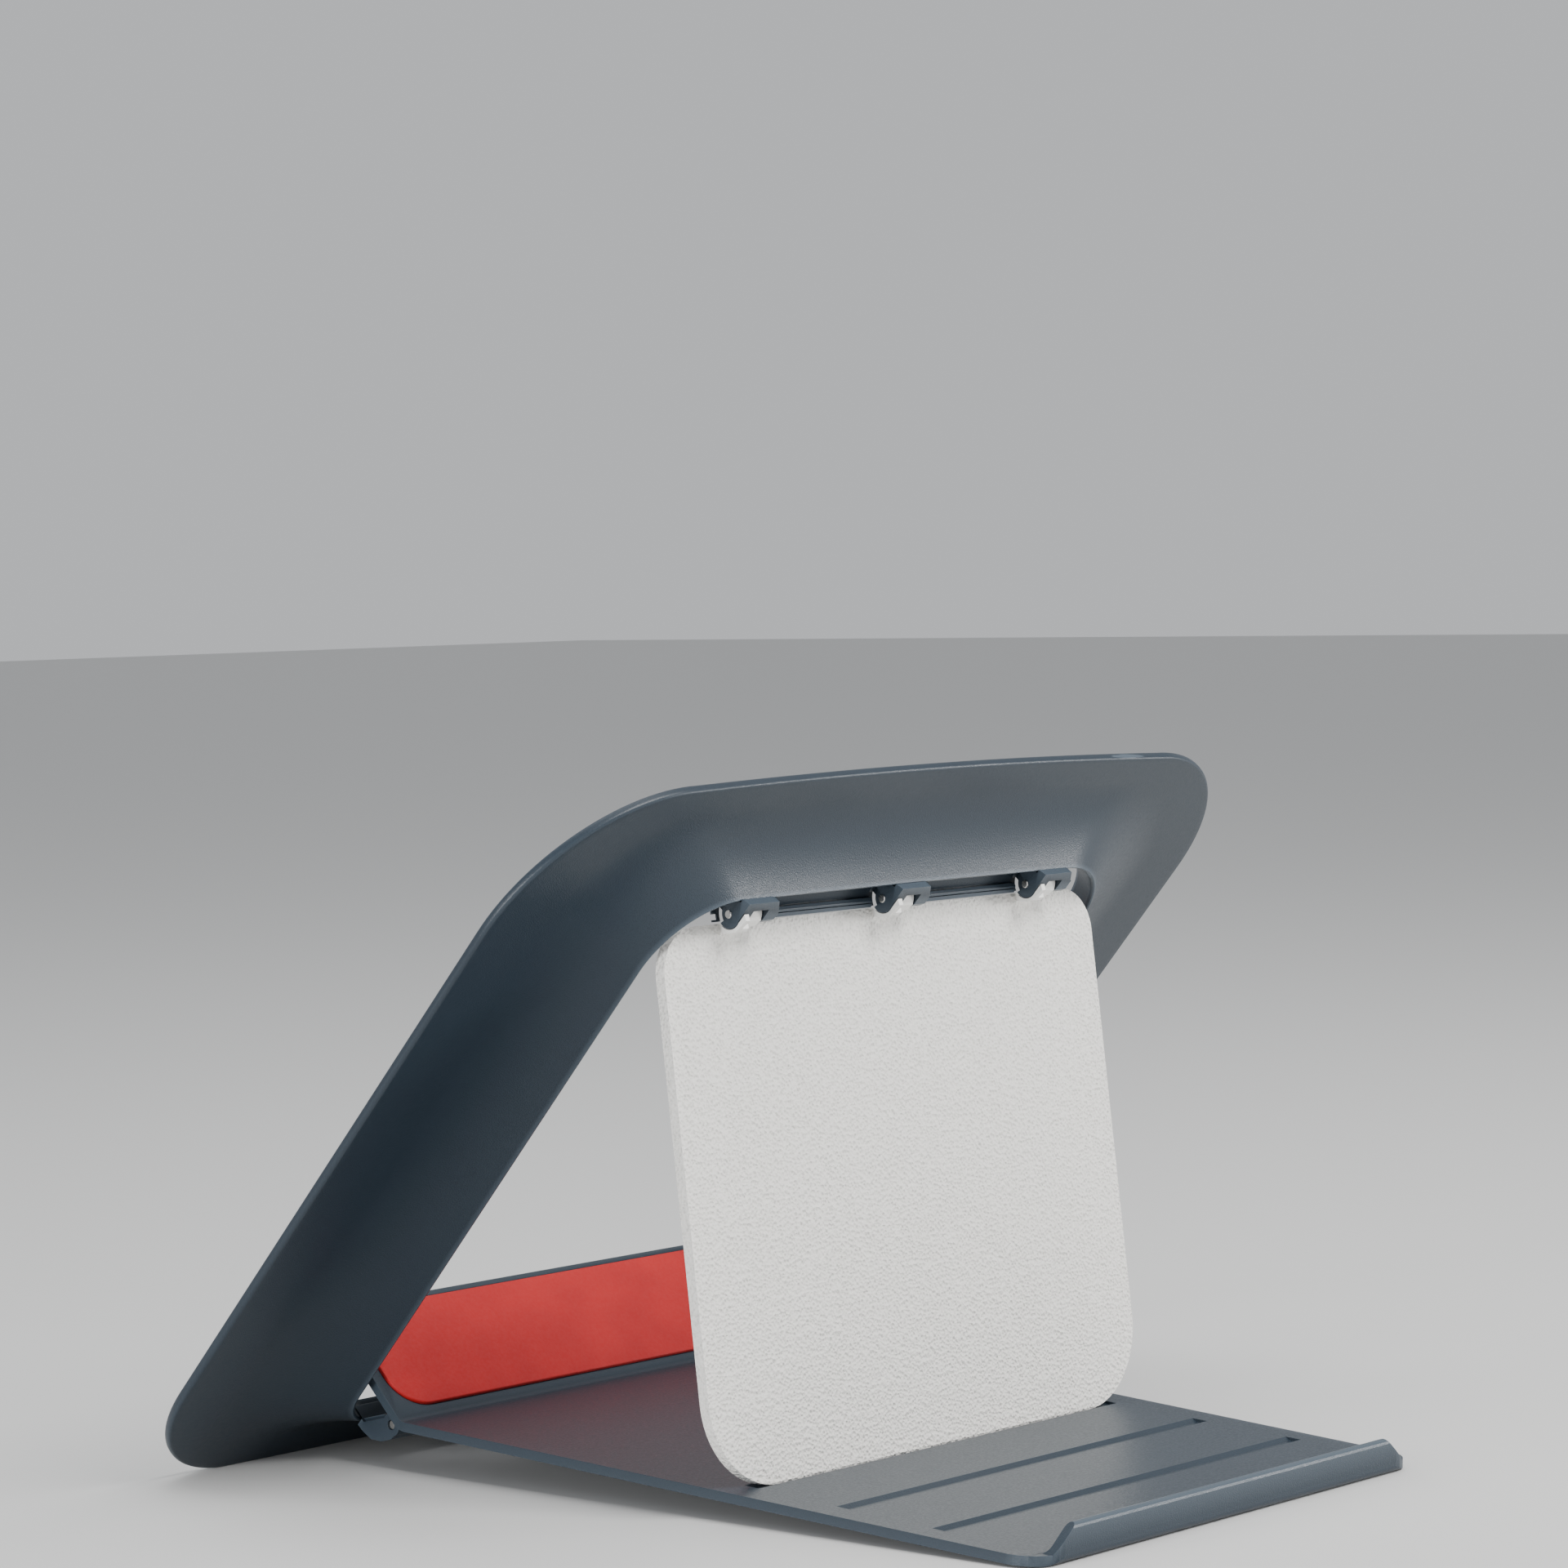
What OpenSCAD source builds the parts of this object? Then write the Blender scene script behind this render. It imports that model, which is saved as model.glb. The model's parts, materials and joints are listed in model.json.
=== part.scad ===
// Folding laptop stand: a ring frame, a swing-out leg and a bent base plate.
// X runs across the stand, +Y points to its back, +Z is up.
// The origin is on the desk, under the middle of the open stand.

/* [Ring frame] */
// Width of the frame along its lower edge
frame_w = 329; // [320:1:340]
// Width of the frame along its upper edge
frame_top_w = 323; // [314:1:334]
// Height of the frame, measured up its slope
frame_h = 291.5; // [286:0.5:297]
// Angle between the frame and the desk
tilt = 47.8; // [46.5:0.1:49]
// How far the upper edge bows out in the middle
top_bow = 2.5; // [0:0.5:5]
// Radius of the two lower outer corners
low_corner_r = 40; // [30:1:45]
// Radius of the two upper outer corners
top_corner_r = 54; // [40:1:60]
// Wall thickness of the moulding, and of its rim
wall = 3; // [2.4:0.1:3.4]
// How far the edge of the opening stands behind the rim
dish = 13.5; // [12:0.5:14]
// Share of the band that stays flat next to the rim
flat_share = 0.3; // [0.2:0.05:0.4]

/* [Opening] */
// Width of the opening
open_w = 203; // [202:1:206]
// Height of the opening's lower edge up the frame
open_low = 28.8; // [27:0.2:30]
// Height of the opening's upper edge up the frame
open_top = 254.1; // [253.5:0.1:255]
// Radius of the opening's lower corners
open_low_r = 13; // [10:1:16]
// Radius of the opening's upper corners
open_top_r = 26; // [20:1:30]

/* [Leg] */
// Width of the leg panel
leg_w = 199; // [190:1:200]
// Length from the pivot to the tip of the leg
leg_len = 167.8; // [167.6:0.1:168]
// Thickness of the leg panel
leg_t = 3.6; // [3:0.1:3.8]
// Gap between the pivot line and the back of the panel
leg_set_back = 7; // [6.8:0.1:7.2]
// Distance from the pivot down to the panel's upper edge
leg_top_gap = 2.5; // [2.4:0.1:3]
// Radius of the panel's lower corners
leg_low_r = 27; // [20:1:32]
// Radius of the panel's upper corners
leg_top_r = 14; // [8:1:20]

/* [Upper hinges] */
// Distance between neighbouring hinges
hinge_pitch = 68.6; // [60:0.1:72]
// Width of one hinge
hinge_w = 16; // [15:0.1:18]
// Radius of a hinge pin
pin_r = 1.25; // [1:0.05:1.5]
// Running clearance round a pin
pin_gap = 0.05; // [0.02:0.01:0.1]

/* [Lower hinges] */
// Distance of a lower hinge's outer side from the middle
low_hinge_x = 95; // [92:1:97]
// Width of the knuckle on the frame
low_knuckle_w = 12; // [9:1:14]
// Width of the lug on the plate
low_lug_w = 9; // [7:1:12]

/* [Base plate] */
// Thickness of the base plate
plate_t = 3; // [2.6:0.1:3.4]
// Width of the plate at its bend
plate_w = 198; // [194:1:199]
// Width of the plate at its back
plate_back_w = 182.4; // [176:0.2:190]
// Length of the plate behind the bend
plate_len = 247.3; // [244:0.1:250]
// Angle by which the plate drops toward the back
plate_drop = 2.88; // [2.8:0.02:3]
// Length of the ledge in front of the bend
ledge_len = 46; // [42:1:48]
// Angle between the plate and the ledge
bend_angle = 137.4; // [136:0.2:139]
// Height of the raised lip at the back, above the plate
lip_h = 7.9; // [5:0.1:9]
// Length of the lip along its top
lip_top_w = 147; // [130:1:160]
// Length of the lip along its foot
lip_low_w = 168; // [150:1:176]
// Distance between neighbouring grooves
groove_pitch = 36; // [30:1:38]
// Length of a groove
groove_w = 168.6; // [164:0.2:174]
// Depth of a groove
groove_depth = 1; // [0.9:0.05:1.2]

/* [Grips and feet] */
// Width of the grip pad on the ledge
pad_w = 189; // [180:1:192]
// Thickness of the grip pad
pad_t = 1.6; // [1.2:0.1:2]
// Radius of a rubber foot
foot_r = 7; // [5:0.5:9]

/* [Hidden] */
eps = 0.02;

slate = "#3c4751";
slate_light = "#6f767c";
leg_white = "#cbcac6";
clip_white = "#e2e1dc";
grip_red = "#c5403e";
steel = "#b9b8b4";
rubber = "#26282a";

// The rim and the edge of the opening are rounded by these radii
rim_r = 1.2;
lip_r = 1.2;
// Depth of the front end of the opening's return wall, and its thickness
return_n = 7.4;
return_t = 2.4;

// The frame stands on the lower back corner of its rim
stand_depth = 301.4;
frame_y = -stand_depth / 2 - rim_r * (sin(tilt) + cos(tilt) - 1);
frame_z = wall * cos(tilt) - rim_r * (sin(tilt) + cos(tilt) - 1);

// A point given up the frame's slope and behind its front face, as [y, z]
function on_frame(u, n) = [
    frame_y + u * cos(tilt) + n * sin(tilt),
    frame_z + u * sin(tilt) - n * cos(tilt)
];
function rotated(p, a) = [p[0] * cos(a) - p[1] * sin(a), p[0] * sin(a) + p[1] * cos(a)];
function mix(a, b, t) = a + (b - a) * t;
function arc(c, r, a0, a1, n) =
    [for (i = [0:n]) c + r * [cos(mix(a0, a1, i / n)), sin(mix(a0, a1, i / n))]];

// Pivots of the two hinges, in frame terms and in space
pivot_u = 248.1;
pivot_n = 14.4;
low_pivot_u = 39.3;
low_pivot_n = 26.2;
pivot = on_frame(pivot_u, pivot_n);
low_pivot = on_frame(low_pivot_u, low_pivot_n);

// The bend of the plate stands just behind and above the lower pivot
bend_from_pivot = [8.72, 2.64];
bend = low_pivot + bend_from_pivot;
ledge_angle = bend_angle - plate_drop;
bend_r = 4;

// The leg's tip rests in the first groove
leg_angle = -83.6;
leg_back = -leg_set_back;
leg_front = -leg_set_back - leg_t;
tip_w = 1.3;
tip_h = 2;

// Place of the first groove along the plate, from the leg's own tip
tip_y = pivot + rotated([leg_len, leg_back], leg_angle);
tip_on_plate = rotated(tip_y - bend, plate_drop);
groove_bottom_w = 1.9;
groove_front_run = 1.9;
groove_back_run = 1.9;
groove_centre = tip_on_plate[0] - 0.9;
groove_count = 3;

// The hinges sit a little to one side, because their hooks open that way
hinge_shift = 0.6;
hinge_x = [for (i = [1:-1:-1]) i * hinge_pitch + hinge_shift];

// ---- Placing ----

// Frame terms: x across, y up the slope, z behind the front face
module in_frame() {
    translate([0, frame_y, frame_z]) rotate([tilt, 0, 0]) mirror([0, 0, 1]) children();
}

// Leg terms: origin on the pivot, y down the leg, z out of its back
module in_leg() {
    translate([0, pivot[0], pivot[1]]) rotate([leg_angle, 0, 0]) children();
}

// Plate terms: origin on the bend, y along the plate, z up from its top
module in_plate() {
    translate([0, bend[0], bend[1]]) rotate([-plate_drop, 0, 0]) children();
}

// Ledge terms: origin on the bend, y along the ledge, z out of its top
module in_ledge() {
    translate([0, bend[0], bend[1]]) rotate([ledge_angle, 0, 0]) mirror([0, 0, 1]) children();
}

// Extrudes a side view, drawn as [y, z], from x0 to x1
module side_view(x0, x1) {
    translate([x0, 0, 0]) rotate([90, 0, 90]) linear_extrude(x1 - x0) children();
}

module rod(x0, x1, r, y = 0, z = 0) {
    translate([x0, y, z]) rotate([0, 90, 0]) cylinder(h = x1 - x0, r = r, $fn = 48);
}

// ---- Ring frame ----

corner_steps = 10;
side_steps = 5;
edge_steps = 5;

// Right half of a rounded outline, from the middle of its foot to the middle of its top
function half_outline(w0, w1, u0, u1, r0, r1, bow) =
    let (c0 = [w0 / 2 - r0, u0 + r0], c1 = [w1 / 2 - r1, u1 - bow - r1])
    concat(
        [for (i = [0:edge_steps - 1]) [c0[0] * i / edge_steps, u0]],
        arc(c0, r0, -90, 0, corner_steps),
        [for (i = [1:side_steps - 1]) mix(c0 + [r0, 0], c1 + [r1, 0], i / side_steps)],
        arc(c1, r1, 0, 90, corner_steps),
        [for (i = [edge_steps - 1:-1:0])
            let (x = c1[0] * i / edge_steps) [x, u1 - bow * pow(x / c1[0], 2)]]
    );
function outline(half) = concat(
    half,
    [for (i = [len(half) - 2:-1:1]) [-half[i][0], half[i][1]]]
);

// Depth of the back surface at a distance s from the rim of a band of width w
function back_n(s, w) =
    let (t = max(0, (s - flat_share * w) / ((1 - flat_share) * w))) wall + dish * t * t;

band_steps = 9;
round_steps = 3;
// One section through the band, as [distance from the rim, depth]
function section(w) = concat(
    [for (p = arc([rim_r, rim_r], rim_r, 270, 180, round_steps)) p],
    [for (p = arc([rim_r, wall - rim_r], rim_r, 180, 90, round_steps)) p],
    [for (i = [1:band_steps])
        let (s = mix(rim_r, w - lip_r, i / band_steps)) [s, back_n(s, w)]],
    [for (p = arc([w - lip_r, back_n(w - lip_r, w) - lip_r], lip_r, 60, 0, round_steps)) p],
    [[w, return_n], [w - return_t, return_n]],
    [for (i = [band_steps:-1:1])
        let (s = mix(rim_r, w - return_t, i / band_steps)) [s, back_n(s, w) - wall]]
);

outer = outline(half_outline(frame_w, frame_top_w, 0, frame_h, low_corner_r, top_corner_r,
    top_bow));
inner = outline(half_outline(open_w, open_w, open_low, open_top, open_low_r, open_top_r, 0));
ring_n = len(outer);
section_n = len(section(50));

module frame_ring() {
    points = [for (i = [0:ring_n - 1])
        let (w = norm(inner[i] - outer[i]), d = (inner[i] - outer[i]) / w)
        for (p = section(w)) [outer[i][0] + d[0] * p[0], outer[i][1] + d[1] * p[0], p[1]]];
    faces = [for (i = [0:ring_n - 1], j = [0:section_n - 1])
        let (i1 = (i + 1) % ring_n, j1 = (j + 1) % section_n)
        each [
            [i * section_n + j, i1 * section_n + j1, i1 * section_n + j],
            [i * section_n + j, i * section_n + j1, i1 * section_n + j1]
        ]];
    polyhedron(points = points, faces = faces);
}

module frame() {
    color(slate) in_frame() frame_ring();
}

// ---- Upper hinges ----

hook_r = 4.3;
ear_w = 4.2;
mouth_depth = 1.7;
// How far the foot of a leg clip stays clear of the hook's near side
foot_back = 3.2;
knuckle_w = 5.9;
side_gap = 0.35;
sweep_gap = 0.5;
rail_x = 75.5;
rail_n0 = 5.2;
screw_u = open_top + 1.2;
screw_head_r = 1.5;

// Bar across the head of the opening that closes the slot between the hooks
module hinge_rail() {
    color(slate) in_frame() difference() {
        side_view(-rail_x, rail_x) polygon([
            [open_top + 3.9, rail_n0], [open_top + 3.9, return_n], [open_top, return_n],
            [pivot_u + 0.9, pivot_n - 5.5], [pivot_u - 3.2, pivot_n - 4.3],
            [pivot_u - 2.4, pivot_n - 3.1], [pivot_u - 2.8, pivot_n - 2.1],
            [pivot_u - 3.4, pivot_n - 1.8], [pivot_u - 4, pivot_n - 2.4],
            [pivot_u - 3.7, pivot_n - 1.7], [pivot_u - 4.8, pivot_n - 1.2],
            [pivot_u - 6.1, pivot_n - 2.6], [pivot_u - 4.5, pivot_n - 5],
            [pivot_u - 0.2, pivot_n - 6.8], [open_top - 1.6, rail_n0]
        ]);
        for (x = hinge_x) side_view(x - hinge_w / 2, x + hinge_w / 2 + sweep_gap) polygon([
            [pivot_u + 0.3, 0], [pivot_u + 0.3, pivot_n + 1], [pivot_u - 9, pivot_n + 1],
            [pivot_u - 9, 0]
        ]);
        for (x = [-1, 1] * hinge_pitch / 2)
            translate([x, screw_u, rail_n0 - eps]) cylinder(h = 1, r = screw_head_r + 0.05, $fn = 32);
    }
}

// Small screws that hold the rail from the front
module rail_screws() {
    color(steel) in_frame() for (x = [-1, 1] * hinge_pitch / 2)
        translate([x, screw_u, rail_n0 - 0.1]) difference() {
            cylinder(h = 1.05, r = screw_head_r, $fn = 32);
            translate([-0.9, -0.18, -eps]) cube([1.8, 0.36, 0.5]);
            translate([-0.18, -0.9, -eps]) cube([0.36, 1.8, 0.5]);
        }
}

// The part of a hook's side view that both of its ears share, from the neck to the tab.
// The neck stands off the edge of the opening by a gap.
tab_top = pivot_u + 8;
tab_back = pivot_n + 4.1;
tab_seat = 15.6;
tab_under = 14.6;
corner_gap = 0.1;
function neck(gap) = [
    [open_top - gap, pivot_n - 2.9], [open_top - gap, tab_seat],
    [open_top + 1.3, tab_seat], [tab_top, tab_back]
];

// One hook: a tab over the edge of the opening, an open curl and a plain ear, both on the pin
module hook(x) {
    x0 = x - hinge_w / 2;
    x1 = x + hinge_w / 2;
    far_x = x1 - ear_w - knuckle_w - 2 * side_gap;
    color(slate) in_frame() difference() {
        union() {
            side_view(x0, x1) polygon([
                [open_top - 1.2, tab_under], [open_top - corner_gap, tab_under],
                [open_top - corner_gap, tab_seat], [open_top + 1.3, tab_seat],
                [tab_top, tab_back], [open_top - 1.2, tab_back]
            ]);
            side_view(x1 - ear_w, x1) polygon(concat([[pivot_u + 1.3, pivot_n - 2.9]],
                neck(corner_gap), [[pivot_u, tab_back], [pivot_u, pivot_n]]));
            rod(x1 - ear_w, x1, hook_r, pivot_u, pivot_n);
            side_view(x1 - ear_w, x1 - mouth_depth) polygon([
                [pivot_u + 1.3, pivot_n - 2.9], [pivot_u + 0.2, pivot_n - 4.4],
                [pivot_u + 0.2, pivot_n - 6.9], [pivot_u - 2.1, pivot_n - 6.6],
                [pivot_u - 2.1, pivot_n], [pivot_u, pivot_n]
            ]);
            side_view(x1 - mouth_depth - eps, x1 + sweep_gap - 0.05) polygon([
                [pivot_u + 0.2, pivot_n - 5.05], [pivot_u + 0.2, pivot_n - 6.9],
                [pivot_u - 2.1, pivot_n - 6.6], [pivot_u - 2.1, pivot_n - 5.05]
            ]);
            side_view(x1 - foot_back + 0.3, x1 + sweep_gap - 0.05) polygon(concat(
                arc([pivot_u, pivot_n], 6.55, 206, 256, 8),
                arc([pivot_u, pivot_n], 7.05, 256, 206, 8)
            ));
            side_view(x0, far_x) polygon(concat([[pivot_u + 1.3, pivot_n - 2.9]], neck(0), [
                [pivot_u + 0.5, tab_back], [pivot_u - 1.2, pivot_n + 3.2],
                [pivot_u - 4.8, pivot_n - 1.1], [pivot_u - 6, pivot_n - 2.6],
                [pivot_u - 4.5, pivot_n - 4.9], [pivot_u - 0.2, pivot_n - 5.5]
            ]));
        }
        rod(x0 - 1, x1 + 1, pin_r, pivot_u, pivot_n);
        side_view(x1 - mouth_depth, x1 + 1) polygon([
            [pivot_u + 1.1, pivot_n - 0.2], [pivot_u + 0.9, pivot_n - 2.3],
            [pivot_u + 1.25, pivot_n - 5], [pivot_u - 6, pivot_n - 5],
            [pivot_u - 6, pivot_n - 1.2], [pivot_u - 3.2, pivot_n - 0.4],
            [pivot_u - 1.1, pivot_n + 0.3]
        ]);
        translate([0, 0, tab_seat]) linear_extrude(10) polygon([
            [x0 - 1, open_top - 2], [x0 + 0.4, open_top - 2], [x0 + 3, tab_top + 0.1],
            [x0 - 1, tab_top + 0.1]
        ]);
    }
}

module hook_left() { hook(hinge_x[2]); }
module hook_middle() { hook(hinge_x[1]); }
module hook_right() { hook(hinge_x[0]); }

module hook_pin(x) {
    color(steel) in_frame()
        rod(x - hinge_w / 2 + 0.5, x + hinge_w / 2 + 0.4, pin_r, pivot_u, pivot_n);
}

module hook_pin_left() { hook_pin(hinge_x[2]); }
module hook_pin_middle() { hook_pin(hinge_x[1]); }
module hook_pin_right() { hook_pin(hinge_x[0]); }

// ---- Leg ----

module rounded_panel(w, y0, y1, r0, r1) {
    polygon(concat(
        arc([w / 2 - r1, y1 - r1], r1, 0, 90, 14), arc([r1 - w / 2, y1 - r1], r1, 90, 180, 14),
        arc([r0 - w / 2, y0 + r0], r0, 180, 270, 14), arc([w / 2 - r0, y0 + r0], r0, 270, 360, 14)
    ));
}

// Thin panel whose tip is chamfered to sit in a groove
module leg_panel() {
    color(leg_white) in_leg() intersection() {
        translate([0, 0, leg_front - 1]) linear_extrude(leg_t + 2)
            rounded_panel(leg_w, leg_top_gap, leg_len, leg_top_r, leg_low_r);
        side_view(-leg_w, leg_w) polygon([
            [leg_top_gap - 1, leg_back], [leg_top_gap - 1, leg_front],
            [leg_len - tip_h, leg_front], [leg_len - 0.25, leg_back - tip_w - 0.35],
            [leg_len - 0.05, leg_back - 0.35], [leg_len - 0.7, leg_back]
        ]);
    }
}

cup_r = hook_r + 0.3;
knuckle_r = 3.7;
horn_w = 1.8;

// One clip: a knuckle on the pin, a foot on the panel and a cup round the hook's curl
module leg_clip(x) {
    x1 = x + hinge_w / 2;
    split = x1 - ear_w - side_gap;
    x0 = split - knuckle_w;
    color(clip_white) in_leg() difference() {
        union() {
            rod(x0, split, knuckle_r);
            side_view(x0, split) polygon([
                [leg_top_gap, leg_back], [4, leg_back], [4.2, 0.4], [2.7, 2.9], [0, knuckle_r],
                [0, 0]
            ]);
            side_view(split - eps, x1 - foot_back) polygon([
                [leg_top_gap, leg_back], [5, leg_back], [5.5, -3.3], [5.5, 1.9], [4.7, 3.2],
                [2, 3.2], [leg_top_gap, -4]
            ]);
            side_view(x1 - foot_back - eps, x1 - horn_w + eps) polygon([
                [3.2, -3.3], [5.5, -3.3], [5.5, 1.9], [4.7, 3.2], [2, 3.2]
            ]);
            side_view(x1 - horn_w, x1) polygon([
                [3.2, -3.3], [5.5, -3.3], [5.5, 1.9], [2.5, 6.6], [0.6, 6.3], [2.75, 3.75], [0.5, 0]
            ]);
        }
        rod(split, x1 + 1, cup_r);
        rod(x0 - 1, split + 1, pin_r + pin_gap);
    }
}

module leg_clip_left() { leg_clip(hinge_x[2]); }
module leg_clip_middle() { leg_clip(hinge_x[1]); }
module leg_clip_right() { leg_clip(hinge_x[0]); }

// ---- Base plate ----

ledge_d = [cos(bend_angle), sin(bend_angle)];
ledge_n = [sin(bend_angle), -cos(bend_angle)];
bend_tangent = bend_r / tan(bend_angle / 2);
bend_c = [bend_tangent, bend_r];
ledge_end = ledge_d * (ledge_len - plate_t / 2) - ledge_n * plate_t / 2;
end_r = plate_t / 2;
lip_c = [plate_len - end_r, lip_h - end_r];
heel_r = 2;

// Side view of the plate: ledge, bend, plate and raised lip
module plate_side() {
    polygon(concat(
        arc(ledge_end, end_r, bend_angle - 90, bend_angle + 90, 6),
        arc(bend_c, bend_r + plate_t, bend_angle + 90, 270, 8),
        arc([plate_len - heel_r, heel_r - plate_t], heel_r, 270, 360, 5),
        arc(lip_c, end_r, 0, 180, 6),
        arc([plate_len - plate_t - 2, 2], 2, 0, -90, 5),
        arc(bend_c, bend_r, 270, bend_angle + 90, 8)
    ));
}

module plate_plan() {
    back_r = 12;
    side = atan((plate_w - plate_back_w) / 2 / plate_len);
    polygon(concat(
        [[plate_w / 2, -ledge_len], [plate_w / 2, 0]],
        arc([plate_back_w / 2 - back_r + 0.4, plate_len - back_r], back_r, side, 90, 8),
        arc([back_r - plate_back_w / 2 - 0.4, plate_len - back_r], back_r, 90, 180 - side, 8),
        [[-plate_w / 2, 0], [-plate_w / 2, -ledge_len]]
    ));
}

module groove(p) {
    w = groove_bottom_w / 2;
    side_view(-groove_w / 2, groove_w / 2) polygon([
        [p - w - groove_front_run * 1.1, groove_depth * 0.1], [p - w, -groove_depth],
        [p + w, -groove_depth], [p + w + groove_back_run * 1.1, groove_depth * 0.1]
    ]);
}

pad_start = 4.2;
pad_end = ledge_len - 3;
pad_sink = 0.7;
pad_gap = 0.5;
pad_corner_r = 12;
pad_top_r = 5;
foot_p = plate_len - 24;
foot_x = 68;
foot_sink = 1;

module base_plate() {
    color(slate_light) difference() {
        intersection() {
            in_plate() side_view(-plate_w, plate_w) plate_side();
            in_plate() translate([0, 0, -20]) linear_extrude(80) plate_plan();
            in_ledge() translate([0, 0, -300]) linear_extrude(600)
                rounded_panel(plate_w + 4, -400, ledge_len, 20, 9);
        }
        in_plate() {
            for (i = [0:groove_count - 1]) groove(groove_centre + i * groove_pitch);
            for (s = [-1, 1]) translate([0, plate_len - 12, 0])
                rotate([90, 0, 180]) linear_extrude(20) polygon([
                    [s * lip_low_w / 2, eps], [s * lip_top_w / 2, lip_h + 1],
                    [s * plate_w, lip_h + 1], [s * plate_w, eps]
                ]);
            for (x = [-foot_x, foot_x]) translate([x, foot_p, -plate_t - 1])
                cylinder(h = 1 + foot_sink, r = foot_r + 0.1, $fn = 48);
        }
        in_ledge() translate([0, 0, -pad_sink]) linear_extrude(5)
            rounded_panel(pad_w + 2 * pad_gap, pad_start - pad_gap, pad_end + pad_gap,
                pad_corner_r + pad_gap, pad_top_r + pad_gap);
    }
}

// Soft pad inlaid in the ledge
module grip_pad() {
    color(grip_red) in_ledge() translate([0, 0, -pad_sink]) linear_extrude(pad_t)
        rounded_panel(pad_w, pad_start, pad_end, pad_corner_r, pad_top_r);
}

// Two rubber feet let into the underside of the plate
module rear_feet() {
    color(rubber) for (x = [-foot_x, foot_x]) intersection() {
        in_plate() translate([x, foot_p, -plate_t - 6])
            cylinder(h = 6 + foot_sink, r = foot_r, $fn = 48);
        translate([x - 20, bend[0], 0]) cube([40, plate_len, 30]);
    }
}

// ---- Lower hinges ----

low_knuckle_r = 3.6;
low_lug_r = 3.6;
low_pin_r = 1.5;
// Depth behind which the edge of the opening is clear
lip_back = 15.9;

// Knuckle that reaches from the foot of the opening to the lower pivot
module low_knuckle(s) {
    x1 = low_hinge_x;
    x0 = x1 - low_knuckle_w;
    corner = [open_w / 2 - open_low_r, open_low + open_low_r];
    color(slate) in_frame() mirror([s < 0 ? 1 : 0, 0, 0]) difference() {
        union() {
            rod(x0, x1, low_knuckle_r, low_pivot_u, low_pivot_n);
            side_view(x0, x1) polygon([
                [open_low, return_n + 2], [open_low + 1.4, return_n + 3],
                [open_low + 1.8, 17.2], [low_pivot_u - 0.6, low_pivot_n - 3.5],
                [low_pivot_u, low_pivot_n + 3.4], [low_pivot_u - 3.6, low_pivot_n + 2.9],
                [open_low + 3.2, low_pivot_n + 0.4], [open_low + 0.1, low_pivot_n - 3.3],
                [open_low - 0.8, low_pivot_n - 7.6], [open_low - 0.9, lip_back],
                [open_low, lip_back]
            ]);
            side_view(x0 + 1, x1 - 1) polygon([
                [open_low + 1.8, lip_back], [low_pivot_u - 0.6, low_pivot_n - 4.9],
                [low_pivot_u, low_pivot_n - 3], [open_low + 1.8, 18]
            ]);
        }
        rod(x0 - 1, x1 + 1, low_pin_r + pin_gap, low_pivot_u, low_pivot_n);
        linear_extrude(lip_back) polygon(concat([[corner[0], 0]],
            arc(corner, open_low_r - 0.25, -90, -20, 8), [[open_w, corner[1]], [open_w, 0]]));
    }
}

module low_knuckle_left() { low_knuckle(-1); }
module low_knuckle_right() { low_knuckle(1); }

// Lug under the ledge that holds the lower pin
module low_lug(s) {
    x1 = low_hinge_x - low_knuckle_w - 0.3;
    x0 = x1 - low_lug_w;
    c = rotated(-bend_from_pivot, -ledge_angle);
    color(slate_light) in_ledge() mirror([s < 0 ? 1 : 0, 0, 0]) difference() {
        union() {
            rod(x0, x1, low_lug_r, c[0], -c[1]);
            side_view(x0, x1) polygon([
                [c[0] - low_lug_r, -c[1]], [c[0] + low_lug_r, -c[1]],
                [c[0] + low_lug_r + 4, -plate_t], [c[0] - 1.5, -plate_t]
            ]);
        }
        rod(x0 - 1, x1 + 1, low_pin_r, c[0], -c[1]);
    }
}

module low_lug_left() { low_lug(-1); }
module low_lug_right() { low_lug(1); }

module low_pin(s) {
    x1 = low_hinge_x;
    color(steel) in_frame() mirror([s < 0 ? 1 : 0, 0, 0])
        rod(x1 - low_knuckle_w - low_lug_w - 0.3, x1 - 0.6, low_pin_r, low_pivot_u, low_pivot_n);
}

module low_pin_left() { low_pin(-1); }
module low_pin_right() { low_pin(1); }

// ---- Grips on the front of the rim ----

grip_r = 5.5;
grip_t = 0.8;

module rim_grips() {
    color(rubber) in_frame() for (x = [-135, 135], u = [70, 200])
        translate([x, u, -grip_t]) cylinder(h = grip_t, r = grip_r, $fn = 40);
}

frame();
hinge_rail();
rail_screws();
rim_grips();
hook_left();
hook_middle();
hook_right();
hook_pin_left();
hook_pin_middle();
hook_pin_right();
leg_panel();
leg_clip_left();
leg_clip_middle();
leg_clip_right();
base_plate();
grip_pad();
rear_feet();
low_knuckle_left();
low_knuckle_right();
low_lug_left();
low_lug_right();
low_pin_left();
low_pin_right();
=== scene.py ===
"""Looks of a folding laptop stand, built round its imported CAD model."""

import json
import math

import bmesh
import bpy
from mathutils import Matrix, Vector


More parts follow.
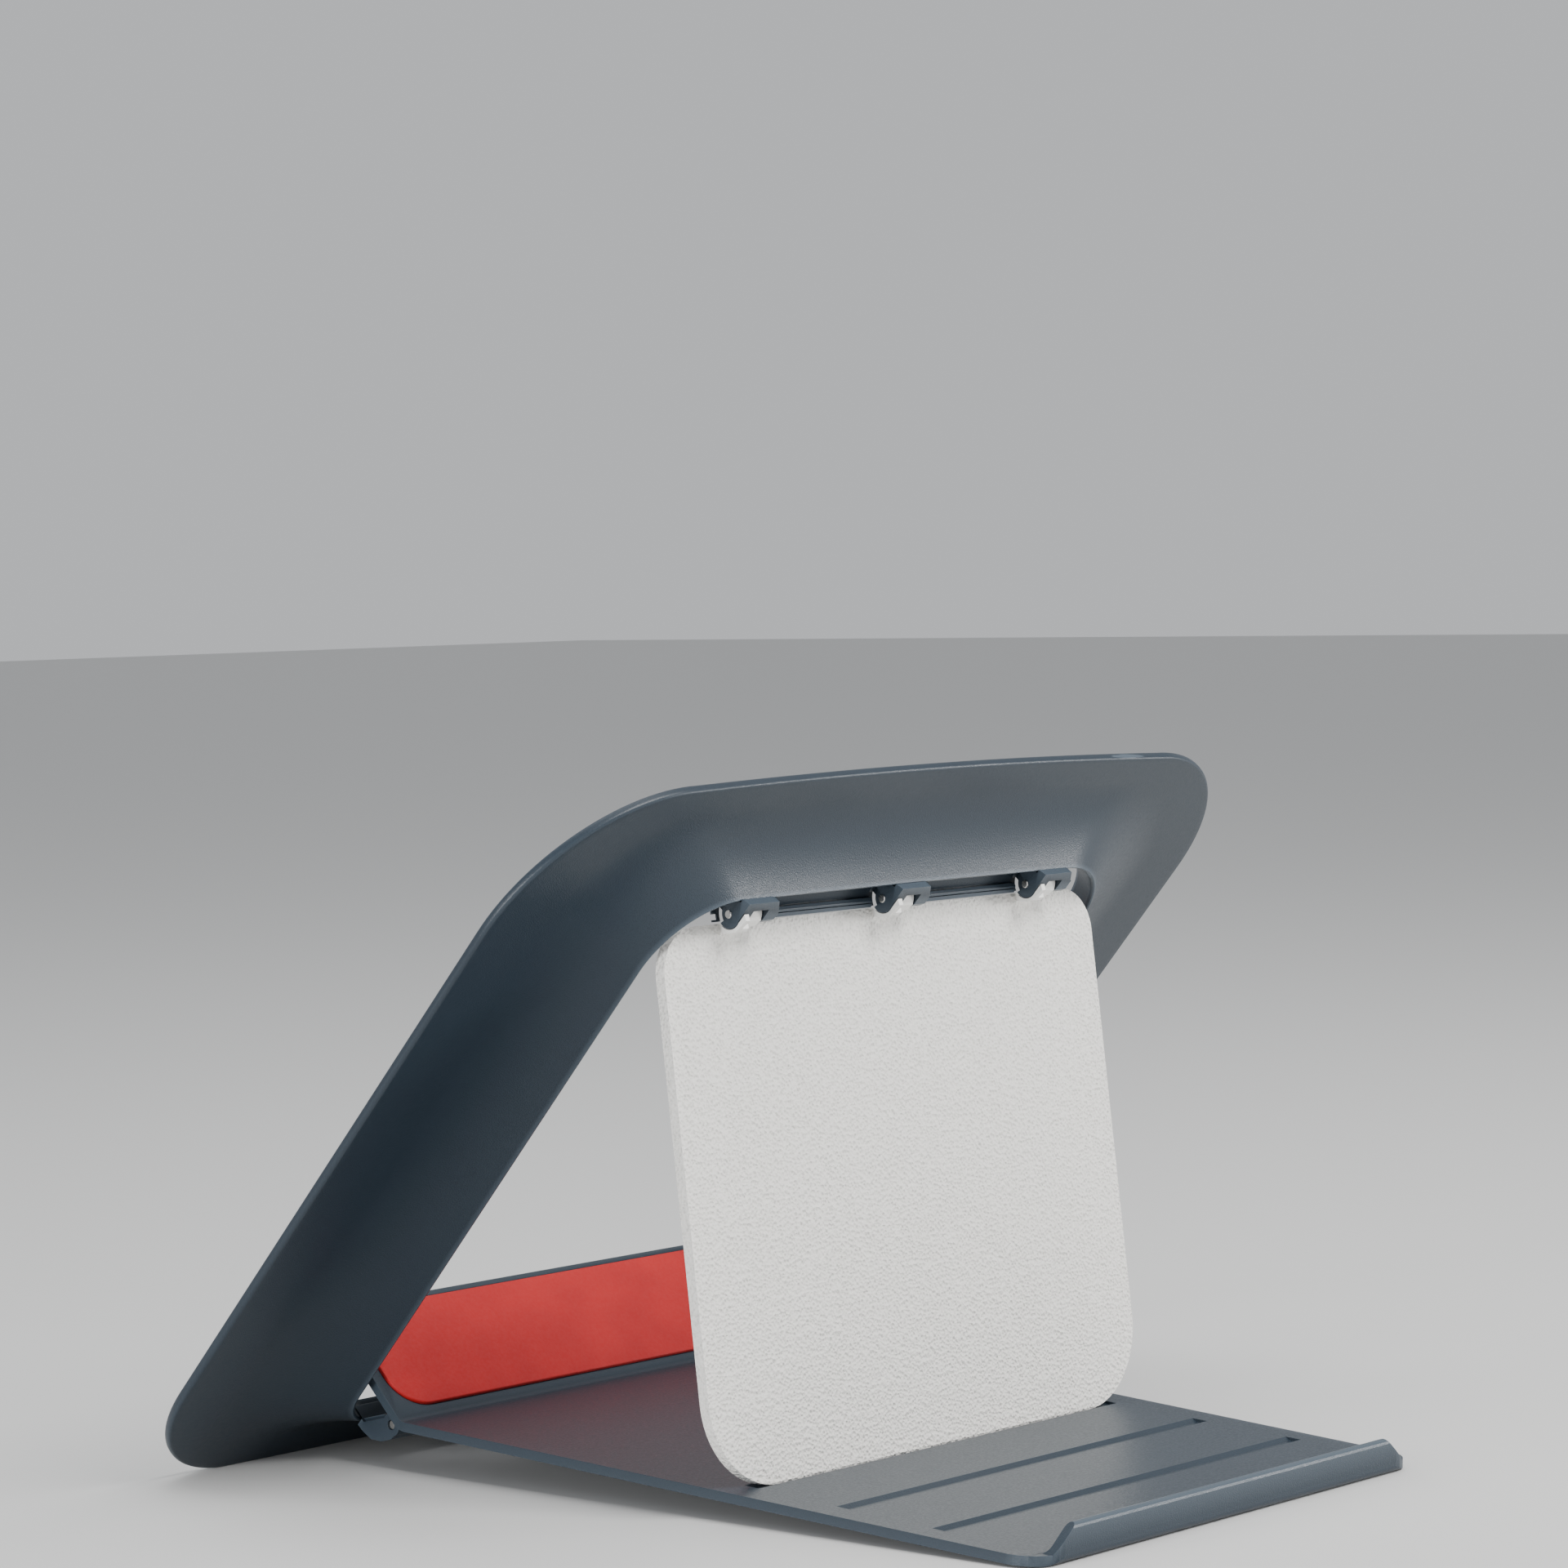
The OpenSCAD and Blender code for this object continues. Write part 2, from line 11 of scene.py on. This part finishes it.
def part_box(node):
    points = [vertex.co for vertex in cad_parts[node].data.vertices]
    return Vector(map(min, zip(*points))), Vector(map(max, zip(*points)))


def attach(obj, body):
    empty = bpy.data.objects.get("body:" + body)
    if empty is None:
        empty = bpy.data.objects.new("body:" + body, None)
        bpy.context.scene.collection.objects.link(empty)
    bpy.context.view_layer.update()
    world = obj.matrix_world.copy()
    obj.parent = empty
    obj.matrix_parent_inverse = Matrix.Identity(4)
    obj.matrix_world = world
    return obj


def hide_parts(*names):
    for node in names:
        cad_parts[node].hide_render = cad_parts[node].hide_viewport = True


MM = 0.001
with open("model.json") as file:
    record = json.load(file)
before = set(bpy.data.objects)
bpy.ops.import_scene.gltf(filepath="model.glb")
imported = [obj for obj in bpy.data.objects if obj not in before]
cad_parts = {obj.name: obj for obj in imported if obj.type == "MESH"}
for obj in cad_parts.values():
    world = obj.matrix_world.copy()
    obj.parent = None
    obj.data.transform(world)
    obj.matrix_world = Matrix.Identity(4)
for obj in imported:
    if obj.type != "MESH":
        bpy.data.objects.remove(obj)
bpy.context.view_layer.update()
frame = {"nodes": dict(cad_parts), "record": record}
record = frame["record"]

# ---- Camera ----

CAMERA_PLACE = Vector((1063.5, 945.6, 277.1)) * MM
CAMERA_FORWARD = Vector((-0.7392, -0.6719, -0.0471)).normalized()
CAMERA_RIGHT = Vector((-0.6717, 0.7405, -0.0206))
CAMERA_LENS = 105.94
SENSOR_WIDTH = 36
NEAR_CLIP = 0.01


def make_camera():
    right = (CAMERA_RIGHT - CAMERA_FORWARD * CAMERA_RIGHT.dot(CAMERA_FORWARD)).normalized()
    up = right.cross(CAMERA_FORWARD)
    turn = Matrix((right, up, -CAMERA_FORWARD)).transposed().to_4x4()
    data = bpy.data.cameras.new("camera")
    data.lens = CAMERA_LENS
    data.sensor_width = SENSOR_WIDTH
    data.clip_start = NEAR_CLIP
    camera = bpy.data.objects.new("camera", data)
    camera.matrix_world = Matrix.Translation(CAMERA_PLACE) @ turn
    bpy.context.scene.collection.objects.link(camera)
    bpy.context.scene.camera = camera


make_camera()

# ---- Where things are, from the frame ----

rest_mount = next(m for m in record["mounts"] if m["name"] == "laptop_rest")
TILT = math.atan2(-rest_mount["axis"][1], rest_mount["axis"][2])
WALL = 3 * MM
RIM_R = 1.2 * MM
rim_gain = RIM_R * (math.sin(TILT) + math.cos(TILT) - 1)
FRAME_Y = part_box("frame")[0][1] - rim_gain
FRAME_Z = WALL * math.cos(TILT) - rim_gain


def on_frame(x, u, n):
    """A point given across, up the frame's slope and behind its front face."""
    return Vector((
        x,
        FRAME_Y + u * math.cos(TILT) + n * math.sin(TILT),
        FRAME_Z + u * math.sin(TILT) - n * math.cos(TILT),
    ))


# ---- Ring frame ----

# The CAD frame's own sizes, from its rim to the edge of its opening
RING_W = 329 * MM
RING_TOP_W = 323 * MM
RING_H = 291.5 * MM
RING_BOW = 2.5 * MM
RING_LOW_R = 40 * MM
RING_TOP_R = 54 * MM
OPEN_W = 203 * MM
OPEN_LOW = 28.8 * MM
OPEN_TOP = 254.1 * MM
OPEN_LOW_R = 13 * MM
OPEN_TOP_R = 26 * MM
DISH = 13.5 * MM
EDGE_R = 1.2 * MM
RETURN_N = 7.4 * MM
RETURN_T = 2.4 * MM
# Share of the band that stays flat next to the rim, on the sides and at the ends.
# The CAD frame has one share, 0.3, all the way round.
SIDE_FLAT = 0.36
END_FLAT = 0.26
ROUND_STEPS = 6
LIP_START = 62


def arc(cx, cy, r, a0, a1, steps):
    turns = [math.radians(a0 + (a1 - a0) * i / steps) for i in range(steps + 1)]
    return [(cx + r * math.cos(a), cy + r * math.sin(a)) for a in turns]


def half_outline(w0, w1, u0, u1, r0, r1, bow, corner=28, side=36, edge=24):
    """Right half of a rounded outline, from the middle of its foot to the middle of its top."""
    c0 = (w0 / 2 - r0, u0 + r0)
    c1 = (w1 / 2 - r1, u1 - bow - r1)
    out = [(c0[0] * i / edge, u0) for i in range(edge)]
    out += arc(*c0, r0, -90, 0, corner)
    for i in range(1, side):
        t = i / side
        out.append((
            (c0[0] + r0) * (1 - t) + (c1[0] + r1) * t,
            c0[1] * (1 - t) + c1[1] * t,
        ))
    out += arc(*c1, r1, 0, 90, corner)
    for i in range(edge - 1, -1, -1):
        x = c1[0] * i / edge
        out.append((x, u1 - bow * (x / c1[0]) ** 2))
    return out


def whole_outline(half):
    return half + [(-x, u) for x, u in half[-2:0:-1]]


def back_n(s, w, flat):
    """Depth of the back surface at a distance s from the rim of a band of width w."""
    t = max(0.0, (s - flat * w) / ((1 - flat) * w))
    return WALL + DISH * t * t


def ring_section(w, flat, steps=28):
    """One section through the band, as (distance from the rim, depth)."""
    out = arc(RIM_R, RIM_R, RIM_R, 270, 180, ROUND_STEPS)
    out += arc(RIM_R, WALL - RIM_R, RIM_R, 180, 90, ROUND_STEPS)
    last = w - EDGE_R
    for i in range(1, steps + 1):
        s = RIM_R + (last - RIM_R) * i / steps
        out.append((s, back_n(s, w, flat)))
    out += arc(last, back_n(last, w, flat) - EDGE_R, EDGE_R, LIP_START, 0, ROUND_STEPS)
    out += [(w, RETURN_N + 1 * MM), (w, RETURN_N), (w - RETURN_T, RETURN_N)]
    for i in range(steps, 0, -1):
        s = RIM_R + (w - RETURN_T - RIM_R) * i / steps
        out.append((s, back_n(s, w, flat) - WALL))
    return out


def new_object(name, bm, sharp=35):
    """An object from a bmesh, smooth except across edges sharper than an angle in degrees."""
    mesh = bpy.data.meshes.new(name)
    bm.normal_update()
    bm.to_mesh(mesh)
    bm.free()
    mesh.shade_smooth()
    mesh.set_sharp_from_angle(angle=math.radians(sharp))
    obj = bpy.data.objects.new(name, mesh)
    bpy.context.scene.collection.objects.link(obj)
    return obj


def make_ring():
    """The ring frame as a fine grid: sections through the band, joined round the outline."""
    outer = whole_outline(half_outline(
        RING_W, RING_TOP_W, 0, RING_H, RING_LOW_R, RING_TOP_R, RING_BOW))
    inner = whole_outline(half_outline(
        OPEN_W, OPEN_W, OPEN_LOW, OPEN_TOP, OPEN_LOW_R, OPEN_TOP_R, 0))
    bm = bmesh.new()
    rows = []
    for (xo, uo), (xi, ui) in zip(outer, inner):
        w = math.hypot(xi - xo, ui - uo)
        dx, du = (xi - xo) / w, (ui - uo) / w
        flat = END_FLAT + (SIDE_FLAT - END_FLAT) * dx * dx
        rows.append([bm.verts.new(on_frame(xo + dx * s, uo + du * s, n))
                     for s, n in ring_section(w, flat)])
    for a, b in zip(rows, rows[1:] + rows[:1]):
        for j in range(len(a)):
            k = (j + 1) % len(a)
            bm.faces.new((a[j], a[k], b[k], b[j]))
    bmesh.ops.recalc_face_normals(bm, faces=bm.faces)
    return new_object("ring_shell", bm)


# ---- Materials ----


class Nodes:
    """A material being built from nodes."""

    def __init__(self, name):
        self.material = bpy.data.materials.new(name)
        self.material.use_nodes = True
        self.tree = self.material.node_tree
        self.shader = self.tree.nodes["Principled BSDF"]
        self.coords = self.add("ShaderNodeTexCoord").outputs["Object"]

    def add(self, kind, **values):
        node = self.tree.nodes.new(kind)
        for key, value in values.items():
            setattr(node, key, value)
        return node

    def join(self, a, b):
        self.tree.links.new(a, b)

    def noise(self, scale, detail=3, rough=0.5):
        node = self.add("ShaderNodeTexNoise")
        node.inputs["Scale"].default_value = scale
        node.inputs["Detail"].default_value = detail
        node.inputs["Roughness"].default_value = rough
        self.join(self.coords, node.inputs["Vector"])
        return node.outputs["Fac"]

    def cells(self, scale, feature="SMOOTH_F1", smooth=0.5):
        node = self.add("ShaderNodeTexVoronoi", feature=feature)
        node.inputs["Scale"].default_value = scale
        if feature == "SMOOTH_F1":
            node.inputs["Smoothness"].default_value = smooth
        self.join(self.coords, node.inputs["Vector"])
        return node.outputs["Distance"]

    def remap(self, value, lo, hi, out_lo, out_hi):
        node = self.add("ShaderNodeMapRange")
        node.inputs["From Min"].default_value = lo
        node.inputs["From Max"].default_value = hi
        node.inputs["To Min"].default_value = out_lo
        node.inputs["To Max"].default_value = out_hi
        self.join(value, node.inputs["Value"])
        return node.outputs["Result"]

    def math(self, operation, a, b):
        node = self.add("ShaderNodeMath", operation=operation)
        for socket, value in zip(node.inputs, (a, b)):
            if isinstance(value, (int, float)):
                socket.default_value = value
            else:
                self.join(value, socket)
        return node.outputs["Value"]

    def blend(self, factor, colour_a, colour_b):
        node = self.add("ShaderNodeMix", data_type="RGBA")
        self.join(factor, node.inputs["Factor"])
        for socket, colour in ((node.inputs["A"], colour_a), (node.inputs["B"], colour_b)):
            if isinstance(colour, tuple):
                socket.default_value = (*colour, 1)
            else:
                self.join(colour, socket)
        return node.outputs["Result"]

    def painted_edge_highlight(self, sharpness=0.55):
        """Mask for a painted edge highlight: 0 on flat ground and 1 on convex edges."""
        geometry = self.add("ShaderNodeNewGeometry")
        return self.remap(geometry.outputs["Pointiness"], 0.52, sharpness, 0, 1)

    def bump(self, height, strength, distance):
        node = self.add("ShaderNodeBump")
        node.inputs["Strength"].default_value = strength
        node.inputs["Distance"].default_value = distance
        self.join(height, node.inputs["Height"])
        self.join(node.outputs["Normal"], self.shader.inputs["Normal"])

    def set(self, **values):
        for key, value in values.items():
            self.shader.inputs[key.replace("_", " ")].default_value = value


def hex_colour(code):
    """The linear colour of an sRGB code such as 3c4751."""
    parts = [int(code[i:i + 2], 16) / 255 for i in (0, 2, 4)]
    return tuple(p / 12.92 if p <= 0.04045 else ((p + 0.055) / 1.055) ** 2.4 for p in parts)


def moulded(name, base, light, edge, cell=0.4, grain=0.35, relief=0.3, rough=(0.42, 0.56),
            specular=0.4):
    """Moulded plastic: a pebbled grain of a cell size in mm, clouds of colour, and a painted
    highlight in a lighter colour on convex edges.
    """
    m = Nodes(name)
    density = 1000 / cell
    pebbles = m.math("ADD", m.cells(density), m.math("MULTIPLY", m.noise(density * 1.3, 3), 0.7))
    clouds = m.noise(38, 4)
    tone = m.math("ADD", m.math("MULTIPLY", clouds, 0.25), m.math("MULTIPLY", pebbles, 0.75))
    colour = m.blend(m.remap(tone, 0.3, 0.75, 0, 1), hex_colour(base), hex_colour(light))
    # Painted highlight: the lighter edge colour is mixed in on convex edges, where light would
    # catch them.
    colour = m.blend(m.math("MULTIPLY", m.painted_edge_highlight(), 0.6), colour, hex_colour(edge))
    m.join(colour, m.shader.inputs["Base Color"])
    m.join(m.remap(m.noise(1200, 3), 0.3, 0.7, *rough), m.shader.inputs["Roughness"])
    m.set(Specular_IOR_Level=specular)
    m.bump(pebbles, grain, cell * relief * MM)
    return m.material


def rubber(name, base, light, rough=(0.55, 0.75), grain=0.3, sheen=0.25):
    """Soft rubber: fine matt grain with a faint bloom."""
    m = Nodes(name)
    colour = m.blend(m.remap(m.noise(60, 4), 0.35, 0.65, 0, 1), hex_colour(base), hex_colour(light))
    m.join(colour, m.shader.inputs["Base Color"])
    m.join(m.remap(m.noise(900, 3), 0.3, 0.7, *rough), m.shader.inputs["Roughness"])
    m.set(Sheen_Weight=sheen, Sheen_Roughness=0.5)
    m.bump(m.noise(5200, 3), grain, 0.00008)
    return m.material


def steel(name):
    """Drawn steel: fine lines along X, bright, a little uneven."""
    m = Nodes(name)
    stretch = m.add("ShaderNodeMapping")
    stretch.inputs["Scale"].default_value = (0.04, 1, 1)
    m.join(m.coords, stretch.inputs["Vector"])
    lines = m.add("ShaderNodeTexNoise")
    lines.inputs["Scale"].default_value = 9000
    m.join(stretch.outputs["Vector"], lines.inputs["Vector"])
    colour = m.blend(lines.outputs["Fac"], hex_colour("b9b8b4"), hex_colour("dcdbd8"))
    m.join(colour, m.shader.inputs["Base Color"])
    m.join(m.remap(lines.outputs["Fac"], 0.3, 0.7, 0.22, 0.36), m.shader.inputs["Roughness"])
    m.set(Metallic=1.0)
    m.bump(lines.outputs["Fac"], 0.15, 0.00002)
    return m.material


# The third colour of each moulded plastic is a painted highlight for its convex edges.
materials = {
    "frame_shell": moulded("frame_plastic", "19222b", "26313b", "56626d",
                           rough=(0.32, 0.42)),
    "leg_shell": moulded("leg_plastic", "cfcdc7", "e6e4df", "f0eee9", cell=1.1, grain=1,
                         relief=0.55, rough=(0.46, 0.6)),
    "clip_plastic": moulded("clip_plastic", "deddd8", "e9e8e4", "f4f3f0", grain=0.12),
    "plate_plastic": moulded("plate_plastic", "1b242d", "27323c", "59646e",
                             rough=(0.3, 0.4), specular=0.35),
    "grip_red": rubber("grip_red", "b00c10", "ba1416", rough=(0.6, 0.78), sheen=0.02),
    "pin_steel": steel("pin_steel"),
    "dark_rubber": rubber("dark_rubber", "1d1f22", "26292d"),
}


def paint(obj, slot_name):
    obj.data.materials.clear()
    obj.data.materials.append(materials[slot_name])


# ---- CAD nodes: material, closed seams and softened edges ----

# Bevel widths in mm
BEVELS = {
    "leg_panel": 0.7, "base_plate": 0.45, "grip_pad": 0.45, "hinge_rail": 0.35,
    "rail_screws": 0.08, "rim_grips": 0.25, "rear_feet": 0.2,
}
SMALL_BEVEL = 0.3
WELD_GAP = 0.002 * MM
FLAT_ANGLE = math.radians(0.5)
BEVEL_ANGLE = math.radians(32)
BEVEL_SEGMENTS = 3

slots = {row["node"]: row["material_slot"] for row in record["subparts"]}
for node_name, node in frame["nodes"].items():
    for material_slot in node.material_slots:
        material_slot.material = materials[slots[node_name]]
    weld = node.modifiers.new("weld", "WELD")
    weld.merge_threshold = WELD_GAP
    flats = node.modifiers.new("flats", "DECIMATE")
    flats.decimate_type = "DISSOLVE"
    flats.angle_limit = FLAT_ANGLE
    bevel = node.modifiers.new("bevel", "BEVEL")
    bevel.width = BEVELS.get(node_name, SMALL_BEVEL) * MM
    bevel.segments = BEVEL_SEGMENTS
    bevel.limit_method = "ANGLE"
    bevel.angle_limit = BEVEL_ANGLE
    bevel.harden_normals = True

ring = make_ring()
paint(ring, "frame_shell")
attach(ring, "frame")
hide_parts("frame")

# ---- Floor and light ----

FLOOR_SIZE = 24
FLOOR_COLOUR = (0.6, 0.6, 0.595, 1)
FLOOR_ROUGHNESS = 0.8
SKY_COLOUR = (0.95, 0.97, 1, 1)
SKY_STRENGTH = 0.6

def make_floor():
    bpy.ops.mesh.primitive_plane_add(size=FLOOR_SIZE, location=(0, 0, 0))
    floor = bpy.context.object
    floor.name = "floor"
    material = bpy.data.materials.new("floor")
    material.use_nodes = True
    shader = material.node_tree.nodes["Principled BSDF"]
    shader.inputs["Base Color"].default_value = FLOOR_COLOUR
    shader.inputs["Roughness"].default_value = FLOOR_ROUGHNESS
    floor.data.materials.append(material)


def area_light(name, place, target, size, power, colour=(1, 1, 1)):
    data = bpy.data.lights.new(name, "AREA")
    data.shape = "RECTANGLE"
    data.size, data.size_y = size
    data.energy = power
    data.color = colour
    light = bpy.data.objects.new(name, data)
    light.location = place
    aim = Vector(target) - Vector(place)
    light.rotation_euler = aim.to_track_quat("-Z", "Y").to_euler()
    bpy.context.scene.collection.objects.link(light)


def make_lights():
    world = bpy.data.worlds.new("studio")
    world.use_nodes = True
    background = world.node_tree.nodes["Background"]
    background.inputs["Color"].default_value = SKY_COLOUR
    background.inputs["Strength"].default_value = SKY_STRENGTH
    bpy.context.scene.world = world
    middle = (0, 0, 0.1)
    area_light("key", (-0.1, 1.5, 1.7), middle, (1.0, 0.8), 52, (1, 0.99, 0.97))
    area_light("side", (1.7, 0.0, 0.28), (0, 0, 0.02), (0.9, 0.5), 20, (0.98, 0.99, 1))
    area_light("low softbox", (-1.3, 1.2, 0.32), middle, (0.6, 0.4), 16)
    area_light("top", (0, -0.2, 1.9), middle, (1.6, 1.6), 14)


make_floor()
make_lights()

# ---- Hand over ----

bpy.context.view_layer.update()
